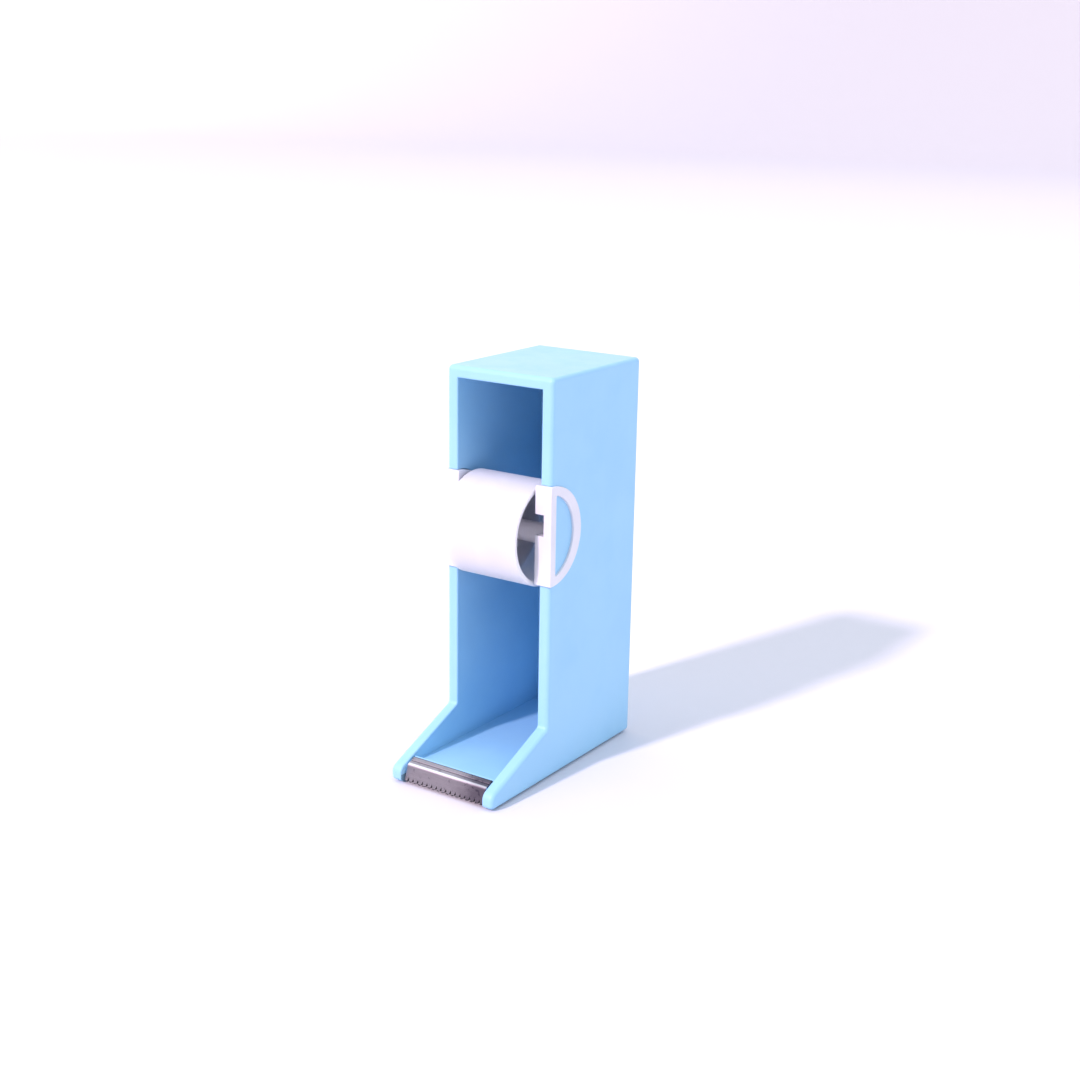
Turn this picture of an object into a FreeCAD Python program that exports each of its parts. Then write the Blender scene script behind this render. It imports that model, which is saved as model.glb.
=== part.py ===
"""Tower tape dispenser for small rolls of sticky tape.

A narrow moulded housing stands on two rounded toes and is open at the front. A white bracket is
pushed onto the front edge of each side wall. An axle rests in the brackets' hooked slots and carries
a hollow drum, which the core of the tape roll slides over. A bent steel blade with a toothed lower
edge spans the toes.

Millimetres. +Z is up, the open front faces -Y, and the origin is at the centre of the footprint.
"""
import FreeCAD, Part
import os

import Sketcher

Vector = FreeCAD.Vector

# Driving dimensions: alias, value, meaning.
DIMENSIONS = [
    ("tower_height", 98.0, "from the table to the top"),
    ("tower_depth", 38.0, "of the tower, from its front edges to its back"),
    ("wall", 3.0, "thickness of the side walls"),
    ("back_wall", 3.0, "thickness of the back"),
    ("top_wall", 2.85, "thickness of the top"),
    ("floor_top", 4.0, "height of the floor between the side walls"),
    ("foot_reach", 22.3, "of the toes in front of the tower's front edges"),
    ("foot_top", 13.3, "height where the toes leave the tower's front edges"),
    ("nose_height", 3.9, "height of the toes' blunt front"),
    ("nose_round", 2.2, "upper radius of the toes' front"),
    ("heel_round", 1.2, "radius of the housing's other corners in side view"),
    ("kink_round", 1.0, "radius where the toes meet the tower"),
    ("side_round", 1.0, "radius of the side walls' outer edges"),
    ("mouth_round", 0.4, "radius of the side walls' inner front edges"),
    ("pad_thick", 1.6, "thickness of the non-slip pad"),
    ("pad_proud", 0.4, "of the pad below the housing"),
    ("pad_margin", 3.0, "from the pad's edge to the housing's sides and back"),
    ("pad_setback", 7.5, "from the toes' front to the pad"),
    ("pad_corner", 2.0, "corner radius of the pad"),
    ("pad_gap", 0.2, "round the pad in its recess"),
    ("drum_radius", 12.6, "outside, for a tape core of 25.4 mm bore"),
    ("drum_wall", 1.2, "thickness of the drum's tube"),
    ("drum_length", 20.8, "of the drum"),
    ("drum_gap", 0.6, "from each end of the drum to its bracket"),
    ("drum_round", 0.35, "radius of the tube's end edges"),
    ("web_thick", 1.6, "of the disc inside the drum"),
    ("hub_wall", 2.0, "thickness of the drum's hub"),
    ("hub_length", 6.0, "of the drum's hub"),
    ("axle_radius", 2.5, "of the axle"),
    ("axle_chamfer", 0.4, "at the axle's ends"),
    ("axle_setback", 4.6, "of the axle behind the tower's front edges"),
    ("axle_height", 60.0, "of the axle at rest"),
    ("axle_lift", 3.65, "from rest to the level of the slot's mouth"),
    ("bearing_play", 0.05, "round the axle in the drum's hub"),
    ("slot_play", 0.08, "round the axle in the brackets' slots"),
    ("end_play", 0.1, "from each end of the axle to its slot's end"),
    ("slot_depth", 2.5, "of the axle's slot from the bracket's inner face"),
    ("bracket_radius", 12.0, "of the bracket's round back"),
    ("bracket_rise", 1.0, "of the bracket's centre above the axle at rest"),
    ("boss_proud", 1.0, "of the bracket inside the side wall"),
    ("boss_depth", 2.1, "of the bracket into the side wall"),
    ("boss_gap", 0.1, "round the bracket in the side wall"),
    ("bar_front", 0.8, "of the bracket in front of the tower's front edges"),
    ("bar_back", 1.4, "of the bracket's upright behind those edges, outside"),
    ("window_radius", 10.2, "of the window inside the bracket's rim"),
    ("window_forward", 1.4, "of the window's centre in front of the tower's front edges"),
    ("rim_proud", 0.6, "of the rim outside the side wall"),
    ("blade_thick", 0.45, "of the blade's strip"),
    ("blade_setback", 2.55, "from the toes' front to the bend's inner corner"),
    ("blade_rise", 0.2, "of the bend's inner corner above the floor"),
    ("blade_face", 2.75, "from the bend to the roots of the teeth"),
    ("blade_flange", 2.1, "from the bend to the tang"),
    ("blade_pitch", 22.0, "degrees, fall of the flange towards the front"),
    ("blade_lean", 19.0, "degrees, lean of the face from upright"),
    ("blade_side_gap", 0.45, "from each end of the blade to its toe"),
    ("tang_depth", 1.8, "of the tang in the front bar"),
    ("tang_gap", 0.06, "round the tang in its slot"),
    ("tooth_pitch", 1.4, "of the teeth"),
    ("tooth_depth", 0.95, "of the teeth"),
    ("tooth_margin", 0.3, "least width left at each end of the blade"),
    ("lip_length", 2.2, "of the front bar's face behind the blade"),
    ("lip_relief", 4.2, "of the hollow under the front bar, from its lip back"),
    ("bar_land", 0.6, "of the front bar behind the tang"),
]

# Lengths made of driving dimensions, as the expressions that the objects are bound to.
FRONT = "((dims.foot_reach - dims.tower_depth) / 2)"
INNER_HALF = "(dims.drum_length / 2 + dims.drum_gap + dims.boss_proud)"
OUTER_HALF = f"({INNER_HALF} + dims.wall)"
BASE = "dims.pad_proud"
BACK_INNER = "(dims.tower_depth - dims.back_wall)"
TOP_INNER = "(dims.tower_height - dims.top_wall)"
BRACKET_HEIGHT = "(dims.axle_height + dims.bracket_rise)"
MOUTH_HEIGHT = "(dims.axle_height + dims.axle_lift)"
SLOT_RADIUS = "(dims.axle_radius + dims.slot_play)"
BOSS_FACE = f"({INNER_HALF} - dims.boss_proud)"
BOSS_BACK = f"({INNER_HALF} + dims.boss_depth)"
AXLE_HALF = f"({BOSS_FACE} + dims.slot_depth - dims.end_play)"
BLADE_HALF = f"({INNER_HALF} - dims.blade_side_gap)"
PITCH = "(dims.blade_pitch * 1 deg)"
LEAN = "(dims.blade_lean * 1 deg)"
BEND_Y = "(dims.blade_setback - dims.foot_reach)"
BEND_Z = "(dims.floor_top + dims.blade_rise)"
TANG_Y = f"({BEND_Y} + dims.blade_flange * cos{PITCH})"
TANG_Z = f"({BEND_Z} + dims.blade_flange * sin{PITCH})"
THROUGH = "(2 * (dims.foot_reach + dims.tower_depth))"
OVERCUT = "1"

# Two places closer than this are taken as the same place.
SLACK = 1e-4

doc = FreeCAD.newDocument("tape_dispenser")


def make_sheet():
    """Write every driving dimension to its own row of the spreadsheet."""
    sheet = doc.addObject("Spreadsheet::Sheet", "dims")
    for row, (alias, value, meaning) in enumerate(DIMENSIONS, start=1):
        sheet.set(f"A{row}", alias)
        sheet.set(f"B{row}", str(value))
        sheet.set(f"C{row}", meaning)
        sheet.setAlias(f"B{row}", alias)
    doc.recompute()
    return sheet


sheet = make_sheet()


def number(expression):
    """Value of an expression on the sheet, as a plain number."""
    value = sheet.evalExpression(expression)
    return float(getattr(value, "Value", value))


def new_body(label):
    """Empty PartDesign body with its own label."""
    body = doc.addObject("PartDesign::Body", label)
    body.Label = label
    return body


def new_sketch(body, name, role, height="0"):
    """Sketch on one of the body's origin planes, moved along the plane's normal."""
    sketch = body.newObject("Sketcher::SketchObject", name)
    plane = [item for item in body.Origin.OriginFeatures if item.Role == role][0]
    sketch.AttachmentSupport = [(plane, "")]
    sketch.MapMode = "FlatFace"
    sketch.setExpression("AttachmentOffset.Base.z", height)
    return sketch


def pin_point(sketch, geometry, end, across=None, upward=None):
    """Fix one end of a line, or an arc's end or centre, by its distances from the sketch's origin."""
    for kind, expression in (("DistanceX", across), ("DistanceY", upward)):
        if expression is not None:
            constraint = Sketcher.Constraint(kind, -1, 1, geometry, end, number(expression))
            index = sketch.addConstraint(constraint)
            sketch.setExpression(f"Constraints[{index}]", expression)


def place(pair):
    """Point at a pair of expressions."""
    across, upward = pair
    return Vector(number(across), number(upward), 0)


def outline(sketch, corners, arcs=None):
    """Closed outline through the corners, each a pair of expressions.

    An arc, keyed by the corner that it starts from, takes the place of that corner's line and runs
    anticlockwise round its centre. Its centre and start set its radius, so its far end is fixed only
    along the axis nearer to its tangent there.
    """
    arcs = arcs or {}
    places = [place(corner) for corner in corners]
    count = len(corners)
    for index, start in enumerate(places):
        finish = places[(index + 1) % count]
        if index in arcs:
            centre = place(arcs[index])
            circle = Part.Circle(centre, Vector(0, 0, 1), centre.distanceToPoint(start))
            arc = Part.ArcOfCircle(circle, circle.parameter(start), circle.parameter(finish))
            sketch.addGeometry(arc, False)
        else:
            sketch.addGeometry(Part.LineSegment(start, finish), False)
    for index in range(count):
        sketch.addConstraint(Sketcher.Constraint("Coincident", index, 2, (index + 1) % count, 1))
    for index, (across, upward) in enumerate(corners):
        earlier = (index - 1) % count
        if earlier in arcs:
            spoke = places[index] - place(arcs[earlier])
            if abs(spoke.y) > abs(spoke.x):
                upward = None
            else:
                across = None
        pin_point(sketch, index, 1, across, upward)
    for index, centre in arcs.items():
        pin_point(sketch, index, 3, *centre)


def side_outline(sketch, corners, arcs=None):
    """Outline in side view, with its first coordinate counted back from the tower's front edges."""
    moved = [(f"{FRONT} + {back}", height) for back, height in corners]
    centres = {index: (f"{FRONT} + {back}", height) for index, (back, height) in (arcs or {}).items()}
    outline(sketch, moved, centres)


def both_ways(feature, length):
    """Give a pad or pocket its whole length, half on each side of its sketch."""
    feature.SideType = "Symmetric"
    feature.setExpression("Length", length)


def add_feature(body, kind, name, sketch):
    """PartDesign feature on a sketch."""
    feature = body.newObject(kind, name)
    feature.Profile = sketch
    return feature


def volume_after(body):
    """Volume of the body's newest shape."""
    doc.recompute()
    return body.Tip.Shape.Volume


def expect_cut(body, before, name):
    """Stop when a cut has taken nothing away."""
    if volume_after(body) >= before:
        raise RuntimeError(f"{name} cut nothing")


def edges_where(shape, test):
    """Names of the edges that pass a test."""
    return [f"Edge{index}" for index, edge in enumerate(shape.Edges, start=1) if test(edge)]


def round_edges(body, name, radius, test):
    """Fillet on the edges of the newest shape that pass a test."""
    doc.recompute()
    base = body.Tip
    fillet = body.newObject("PartDesign::Fillet", name)
    fillet.Base = (base, edges_where(base.Shape, test))
    fillet.setExpression("Radius", radius)
    doc.recompute()
    return fillet


def near(value, target):
    """Whether two lengths agree."""
    return abs(value - target) < SLACK


def along_x(edge):
    """Whether an edge is a straight line along X."""
    box = edge.BoundBox
    return box.XLength > SLACK and near(box.YLength, 0) and near(box.ZLength, 0)


def at_side(back, height):
    """Test for an edge along X at a place in side view."""
    place_y = number(f"{FRONT} + {back}")
    place_z = number(height)

    def test(edge):
        box = edge.BoundBox
        return along_x(edge) and near(box.YMin, place_y) and near(box.ZMin, place_z)

    return test


def in_plane_x(half):
    """Test for an edge that lies wholly at one distance either side of the middle plane."""
    def test(edge):
        box = edge.BoundBox
        return near(box.XLength, 0) and near(abs(box.XMin), half)

    return test


def slab(body, name, kind, side, near_x, far_x, draw):
    """Pad or pocket between two distances from the middle plane, on one side of it."""
    start = near_x if side > 0 else f"-{far_x}"
    sketch = new_sketch(body, f"{name}_sketch", "YZ_Plane", start)
    draw(sketch)
    feature = add_feature(body, kind, name, sketch)
    feature.setExpression("Length", f"{far_x} - {near_x}")
    feature.Reversed = kind == "PartDesign::Pocket"
    doc.recompute()
    return feature


def tongue(radius, front):
    """Side view of a plate with a half-round back and a straight front, round the bracket's centre."""
    low = f"({BRACKET_HEIGHT} - {radius})"
    high = f"({BRACKET_HEIGHT} + {radius})"
    corners = [(f"-{front}", low), ("0", low), ("0", high), (f"-{front}", high)]
    return lambda sketch: side_outline(sketch, corners, {1: ("0", BRACKET_HEIGHT)})


def make_housing():
    """Side walls, top, back, floor and toes, as one moulding open at the front."""
    body = new_body("housing")

    block = new_sketch(body, "side_view", "YZ_Plane")
    corners = [
        ("-dims.foot_reach", BASE),
        ("dims.tower_depth", BASE),
        ("dims.tower_depth", "dims.tower_height"),
        ("0", "dims.tower_height"),
        ("0", "dims.foot_top"),
        ("-dims.foot_reach", "dims.nose_height"),
    ]
    side_outline(block, corners)
    both_ways(add_feature(body, "PartDesign::Pad", "block", block), f"2 * {OUTER_HALF}")
    round_edges(body, "nose", "dims.nose_round", at_side(*corners[5]))
    round_edges(body, "kink", "dims.kink_round", at_side(*corners[4]))
    heels = [at_side(*corner) for corner in corners[:4]]
    round_edges(body, "heels", "dims.heel_round", lambda edge: any(test(edge) for test in heels))
    round_edges(body, "sides", "dims.side_round", in_plane_x(number(OUTER_HALF)))

    before = volume_after(body)
    cavity = new_sketch(body, "cavity_view", "YZ_Plane")
    front = f"-dims.foot_reach - {OVERCUT}"
    side_outline(cavity, [
        (front, "dims.floor_top"),
        (BACK_INNER, "dims.floor_top"),
        (BACK_INNER, TOP_INNER),
        (front, TOP_INNER),
    ])
    both_ways(add_feature(body, "PartDesign::Pocket", "cavity", cavity), f"2 * {INNER_HALF}")
    expect_cut(body, before, "cavity")

    on_inner_face = in_plane_x(number(INNER_HALF))
    front_y = number(FRONT)
    back_y = number(f"{FRONT} + {BACK_INNER}")
    floor_z = number("dims.floor_top")

    def at_mouth(edge):
        box = edge.BoundBox
        ahead = box.YMin < front_y + SLACK and box.YMax < back_y - SLACK
        return on_inner_face(edge) and ahead and box.ZMax > floor_z + SLACK

    round_edges(body, "mouth", "dims.mouth_round", at_mouth)

    bar = new_sketch(body, "bar_view", "YZ_Plane")
    land = f"(dims.blade_flange * cos{PITCH} + dims.blade_thick + dims.bar_land)"
    land_z = f"({BEND_Z} + {land} * tan{PITCH})"
    foot = f"({BEND_Y} + {land} + {land_z} - dims.floor_top)"
    sunk = "(dims.floor_top - dims.blade_rise)"
    side_outline(bar, [
        (f"({BEND_Y} - ({BEND_Z} - {sunk}) * tan{LEAN})", sunk),
        (foot, sunk),
        (foot, "dims.floor_top"),
        (f"({BEND_Y} + {land})", land_z),
        (BEND_Y, BEND_Z),
    ])
    both_ways(add_feature(body, "PartDesign::Pad", "front_bar", bar), f"2 * {INNER_HALF}")

    before = volume_after(body)
    throat = new_sketch(body, "throat_view", "YZ_Plane")
    lip_y = f"({BEND_Y} - dims.lip_length * sin{LEAN})"
    lip_z = f"({BEND_Z} - dims.lip_length * cos{LEAN})"
    side_outline(throat, [
        (front, f"{BASE} - {OVERCUT}"),
        (f"({lip_y} + dims.lip_relief)", f"{BASE} - {OVERCUT}"),
        (f"({lip_y} + dims.lip_relief)", lip_z),
        (lip_y, lip_z),
        (BEND_Y, BEND_Z),
        (BEND_Y, f"{BEND_Z} + {OVERCUT}"),
        (front, f"{BEND_Z} + {OVERCUT}"),
    ])
    both_ways(add_feature(body, "PartDesign::Pocket", "throat", throat), f"2 * {INNER_HALF}")
    expect_cut(body, before, "throat")

    before = volume_after(body)
    slot = new_sketch(body, "tang_slot_view", "YZ_Plane")
    slot_front = f"({TANG_Y} - dims.tang_gap)"
    slot_back = f"({TANG_Y} + dims.blade_thick + dims.tang_gap)"
    slot_low = f"({TANG_Z} - dims.tang_depth - dims.tang_gap)"
    slot_high = f"({TANG_Z} + {OVERCUT})"
    side_outline(slot, [
        (slot_front, slot_low),
        (slot_back, slot_low),
        (slot_back, slot_high),
        (slot_front, slot_high),
    ])
    slot_half = f"({BLADE_HALF} + dims.tang_gap)"
    both_ways(add_feature(body, "PartDesign::Pocket", "tang_slot", slot), f"2 * {slot_half}")
    expect_cut(body, before, "tang_slot")

    before = volume_after(body)
    recess = new_sketch(body, "pad_recess_view", "XY_Plane", BASE)
    rounded_rectangle(recess, "0")
    pocket = add_feature(body, "PartDesign::Pocket", "pad_recess", recess)
    pocket.setExpression("Length", "dims.pad_thick - dims.pad_proud")
    pocket.Reversed = True
    expect_cut(body, before, "pad_recess")

    before = volume_after(body)
    seats = new_sketch(body, "bracket_seat_view", "YZ_Plane")
    tongue("(dims.bracket_radius + dims.boss_gap)", OVERCUT)(seats)
    seat_half = f"({BOSS_BACK} + dims.boss_gap)"
    both_ways(add_feature(body, "PartDesign::Pocket", "bracket_seats", seats), f"2 * {seat_half}")
    expect_cut(body, before, "bracket_seats")
    return body


def rounded_rectangle(sketch, gap):
    """Plan of the non-slip pad, drawn in by a gap all round."""
    half = f"({OUTER_HALF} - dims.pad_margin - {gap})"
    low = f"({FRONT} - dims.foot_reach + dims.pad_setback + {gap})"
    high = f"({FRONT} + dims.tower_depth - dims.pad_margin - {gap})"
    turn = f"(dims.pad_corner - {gap})"
    corners = [
        (f"-{half} + {turn}", low),
        (f"{half} - {turn}", low),
        (half, f"{low} + {turn}"),
        (half, f"{high} - {turn}"),
        (f"{half} - {turn}", high),
        (f"-{half} + {turn}", high),
        (f"-{half}", f"{high} - {turn}"),
        (f"-{half}", f"{low} + {turn}"),
    ]
    arcs = {
        1: (f"{half} - {turn}", f"{low} + {turn}"),
        3: (f"{half} - {turn}", f"{high} - {turn}"),
        5: (f"-{half} + {turn}", f"{high} - {turn}"),
        7: (f"-{half} + {turn}", f"{low} + {turn}"),
    }
    outline(sketch, corners, arcs)


def make_base_pad():
    """Non-slip pad in the recess under the floor, a little proud of the housing."""
    body = new_body("base_pad")
    sketch = new_sketch(body, "pad_plan", "XY_Plane")
    rounded_rectangle(sketch, "dims.pad_gap")
    pad = add_feature(body, "PartDesign::Pad", "pad", sketch)
    pad.setExpression("Length", "dims.pad_thick")
    return body


def make_bracket(label, side):
    """Clip on the front edge of one side wall, with the axle's hooked slot."""
    body = new_body(label)
    outside = f"({OUTER_HALF} + dims.rim_proud)"
    plate = tongue("dims.bracket_radius", "dims.bar_front")
    slab(body, f"{label}_boss", "PartDesign::Pad", side, BOSS_FACE, BOSS_BACK, plate)

    low = f"({BRACKET_HEIGHT} - dims.bracket_radius)"
    high = f"({BRACKET_HEIGHT} + dims.bracket_radius)"

    def upright(sketch):
        side_outline(sketch, [("-dims.bar_front", low), ("0", low), ("0", high), ("-dims.bar_front", high)])

    slab(body, f"{label}_upright", "PartDesign::Pad", side, BOSS_FACE, outside, upright)
    slab(body, f"{label}_rim", "PartDesign::Pad", side, OUTER_HALF, outside, plate)

    half_chord = "sqrt(dims.window_radius^2 - (dims.bar_back + dims.window_forward)^2)"
    window_low = ("dims.bar_back", f"{BRACKET_HEIGHT} - {half_chord}")
    window_high = ("dims.bar_back", f"{BRACKET_HEIGHT} + {half_chord}")

    def window(sketch):
        side_outline(sketch, [window_low, window_high], {0: ("-dims.window_forward", BRACKET_HEIGHT)})

    before = volume_after(body)
    slab(body, f"{label}_window", "PartDesign::Pocket", side, OUTER_HALF, outside, window)
    expect_cut(body, before, f"{label}_window")

    slot_end = f"({BOSS_FACE} + dims.slot_depth)"
    front = f"(dims.axle_setback - {SLOT_RADIUS})"
    back = f"(dims.axle_setback + {SLOT_RADIUS})"

    def seat(sketch):
        arcs = {0: ("dims.axle_setback", "dims.axle_height"), 2: ("dims.axle_setback", MOUTH_HEIGHT)}
        side_outline(sketch, [
            (front, "dims.axle_height"),
            (back, "dims.axle_height"),
            (back, MOUTH_HEIGHT),
            (front, MOUTH_HEIGHT),
        ], arcs)

    before = volume_after(body)
    slab(body, f"{label}_seat", "PartDesign::Pocket", side, BOSS_FACE, slot_end, seat)
    expect_cut(body, before, f"{label}_seat")

    def mouth(sketch):
        beyond = f"-dims.bar_front - {OVERCUT}"
        mouth_low = f"({MOUTH_HEIGHT} - {SLOT_RADIUS})"
        mouth_high = f"({MOUTH_HEIGHT} + {SLOT_RADIUS})"
        middle = "dims.axle_setback"
        side_outline(sketch, [
            (beyond, mouth_low),
            (middle, mouth_low),
            (middle, mouth_high),
            (beyond, mouth_high),
        ])

    before = volume_after(body)
    slab(body, f"{label}_mouth", "PartDesign::Pocket", side, BOSS_FACE, slot_end, mouth)
    expect_cut(body, before, f"{label}_mouth")
    return body


def put_on_axis(body):
    """Move a piece turned about the X axis to the axle's place at rest."""
    body.setExpression("Placement.Base.y", f"{FRONT} + dims.axle_setback")
    body.setExpression("Placement.Base.z", "dims.axle_height")


def turned(body, name, corners):
    """Revolve a half section, given as distances along and from the X axis."""
    sketch = new_sketch(body, f"{name}_section", "XZ_Plane")
    outline(sketch, corners)
    revolution = add_feature(body, "PartDesign::Revolution", name, sketch)
    revolution.ReferenceAxis = (sketch, ["H_Axis"])
    revolution.Angle = 360
    doc.recompute()


def make_drum():
    """Tube for the tape core, with a disc and a hub inside it for the axle."""
    body = new_body("drum")
    half = "dims.drum_length / 2"
    web = "dims.web_thick / 2"
    hub = "dims.hub_length / 2"
    bore = "dims.axle_radius + dims.bearing_play"
    hub_radius = f"{bore} + dims.hub_wall"
    tube_inner = "dims.drum_radius - dims.drum_wall"
    turned(body, "drum_tube", [
        (f"-{half}", tube_inner),
        (f"-{half}", "dims.drum_radius"),
        (half, "dims.drum_radius"),
        (half, tube_inner),
        (web, tube_inner),
        (web, hub_radius),
        (hub, hub_radius),
        (hub, bore),
        (f"-{hub}", bore),
        (f"-{hub}", hub_radius),
        (f"-{web}", hub_radius),
        (f"-{web}", tube_inner),
    ])
    round_edges(body, "drum_ends", "dims.drum_round", in_plane_x(number(half)))
    put_on_axis(body)
    return body


def make_axle():
    """Round rod whose ends rest in the brackets' slots."""
    body = new_body("axle")
    shoulder = f"{AXLE_HALF} - dims.axle_chamfer"
    neck = "dims.axle_radius - dims.axle_chamfer"
    turned(body, "axle_rod", [
        (f"-{AXLE_HALF}", "0"),
        (f"-{AXLE_HALF}", neck),
        (f"-({shoulder})", "dims.axle_radius"),
        (shoulder, "dims.axle_radius"),
        (AXLE_HALF, neck),
        (AXLE_HALF, "0"),
    ])
    put_on_axis(body)
    return body


def make_blade():
    """Bent strip: tang in the front bar, flange on it and toothed face in front of it.

    Each gap between teeth is a triangle that runs on past the tips to twice the teeth's depth and is
    one pitch wide there, so a gap is half a pitch wide at the tips and the teeth end flat.
    """
    body = new_body("cutter_blade")
    thick = "dims.blade_thick"
    reach = "(dims.blade_face + dims.tooth_depth)"
    low_y = f"({BEND_Y} - {reach} * sin{LEAN})"
    low_z = f"({BEND_Z} - {reach} * cos{LEAN})"
    spread = f"({thick} / (1 + sin(({PITCH} + {LEAN}))))"
    bend_y = f"({BEND_Y} - {spread} * (sin{PITCH} + cos{LEAN}))"
    bend_z = f"({BEND_Z} + {spread} * (cos{PITCH} + sin{LEAN}))"
    tang_back = f"({TANG_Y} + {thick})"
    tang_low = f"({TANG_Z} - dims.tang_depth)"
    shoulder_z = f"({TANG_Z} + {thick} * tan{PITCH} + {thick} / cos{PITCH})"
    strip = new_sketch(body, "strip_view", "YZ_Plane")
    side_outline(strip, [
        (low_y, low_z),
        (BEND_Y, BEND_Z),
        (TANG_Y, TANG_Z),
        (TANG_Y, tang_low),
        (tang_back, tang_low),
        (tang_back, shoulder_z),
        (bend_y, bend_z),
        (f"({low_y} - {thick} * cos{LEAN})", f"({low_z} + {thick} * sin{LEAN})"),
    ])
    both_ways(add_feature(body, "PartDesign::Pad", "strip", strip), f"2 * {BLADE_HALF}")

    before = volume_after(body)
    span = f"(2 * {BLADE_HALF} - 2 * dims.tooth_margin)"
    gaps = f"floor({span} / dims.tooth_pitch)"
    first = f"(-{gaps} * dims.tooth_pitch / 2)"
    root_z = f"({BEND_Z} - dims.blade_face * cos{LEAN} + {thick} * sin{LEAN})"
    tip_z = f"({root_z} - 2 * dims.tooth_depth * cos{LEAN})"
    notch = new_sketch(body, "tooth_gap_view", "XZ_Plane")
    outline(notch, [
        (f"{first}", tip_z),
        (f"{first} + dims.tooth_pitch", tip_z),
        (f"{first} + dims.tooth_pitch / 2", root_z),
    ])
    pocket = add_feature(body, "PartDesign::Pocket", "tooth_gap", notch)
    pocket.SideType = "Symmetric"
    pocket.setExpression("Length", THROUGH)
    expect_cut(body, before, "tooth_gap")
    pattern = body.newObject("PartDesign::LinearPattern", "tooth_gaps")
    pattern.Originals = [pocket]
    pattern.Direction = (notch, ["H_Axis"])
    pattern.setExpression("Length", f"({gaps} - 1) * dims.tooth_pitch")
    pattern.setExpression("Occurrences", gaps)
    body.Tip = pattern
    doc.recompute()
    return body


def check_and_write(bodies):
    """Refuse a failed object or shape, then write one file for each sub-part."""
    doc.recompute()
    for item in doc.Objects:
        if "Invalid" in item.State or "Error" in item.State:
            raise RuntimeError(f"{item.Label} failed: {item.State}")
    for body in bodies:
        if body.Shape.isNull() or not body.Shape.isValid():
            raise RuntimeError(f"{body.Label} has no valid shape")
        if len(body.Shape.Solids) != 1:
            raise RuntimeError(f"{body.Label} is {len(body.Shape.Solids)} solids")
    os.makedirs("parts", exist_ok=True)
    for body in bodies:
        body.Shape.exportStep(f"parts/{body.Label}.step")
        box = body.Shape.BoundBox
        size = f"{box.XLength:.2f} x {box.YLength:.2f} x {box.ZLength:.2f}"
        print(f"{body.Label}: {size} mm, {body.Shape.Volume:.0f} mm3")


check_and_write([
    make_housing(),
    make_base_pad(),
    make_bracket("left_bracket", -1),
    make_bracket("right_bracket", 1),
    make_drum(),
    make_axle(),
    make_blade(),
])
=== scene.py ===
# %% [markdown]
# # A tower tape dispenser
# The dispenser is a narrow moulded tower that is open at the front and stands on two toes. A white drum
# carries the roll of tape on an axle, two white brackets hold the axle, and a bent steel blade with
# teeth spans the toes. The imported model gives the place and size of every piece, so this lesson loads
# it first and then shapes each visible surface around it.

# %% Load the frame
import math

import bpy
import numpy as np
from mathutils import Matrix, Vector


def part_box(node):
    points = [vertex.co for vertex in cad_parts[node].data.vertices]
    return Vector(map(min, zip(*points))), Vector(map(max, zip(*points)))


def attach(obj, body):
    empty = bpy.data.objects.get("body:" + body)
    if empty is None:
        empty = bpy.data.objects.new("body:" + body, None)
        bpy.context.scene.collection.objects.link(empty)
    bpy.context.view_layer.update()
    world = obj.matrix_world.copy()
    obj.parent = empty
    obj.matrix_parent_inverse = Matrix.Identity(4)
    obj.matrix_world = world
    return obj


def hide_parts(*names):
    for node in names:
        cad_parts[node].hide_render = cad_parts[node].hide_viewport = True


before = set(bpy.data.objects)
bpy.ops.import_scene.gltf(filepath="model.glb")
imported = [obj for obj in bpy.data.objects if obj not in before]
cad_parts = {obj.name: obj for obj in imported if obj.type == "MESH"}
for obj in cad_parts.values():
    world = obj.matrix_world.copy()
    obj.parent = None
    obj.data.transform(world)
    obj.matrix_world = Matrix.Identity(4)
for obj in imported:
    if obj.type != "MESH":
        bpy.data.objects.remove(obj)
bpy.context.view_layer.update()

# %% [markdown]
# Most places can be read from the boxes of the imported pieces. The rest are the maker's own sizes, such
# as the thickness of a wall, and they are written once here. Side views use two coordinates: the
# distance behind the tower's front edges, called back, and the height. The value FRONT turns the first
# one into a place along Y.

# %% Sizes
MM = 0.001
housing_low, housing_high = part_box("housing")
bracket_low, bracket_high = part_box("right_bracket")
drum_low, drum_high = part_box("drum")
axle_low, axle_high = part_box("axle")
blade_low, blade_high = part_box("cutter_blade")
pad_low, pad_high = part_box("base_pad")

WALL = 3.0 * MM
BACK_WALL = 3.0 * MM
TOP_WALL = 2.85 * MM
FLOOR_TOP = 4.0 * MM
FOOT_TOP = 13.3 * MM
NOSE_HEIGHT = 3.9 * MM
BAR_FRONT = 0.8 * MM

FRONT = bracket_low.y + BAR_FRONT
HALF = housing_high.x
INNER = HALF - WALL
REACH = FRONT - housing_low.y
DEPTH = housing_high.y - FRONT
BASE = housing_low.z
TOP = housing_high.z
print(f"tower {2 * HALF / MM:.1f} wide, {DEPTH / MM:.1f} deep, toes {REACH / MM:.1f} mm in front")

# %% [markdown]
# A moulded piece is mostly flat faces joined by roundings. Smooth shading would smear a rounding's
# normals over the flat face beside it. One cure is a bevel modifier with hardened normals, and another
# is to give each face corner its exact normal. The second suits shapes whose formulas are known, so the
# Skin below gathers patches with their normals, welds their points into one closed mesh and turns each
# face to agree with its normals.


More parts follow.
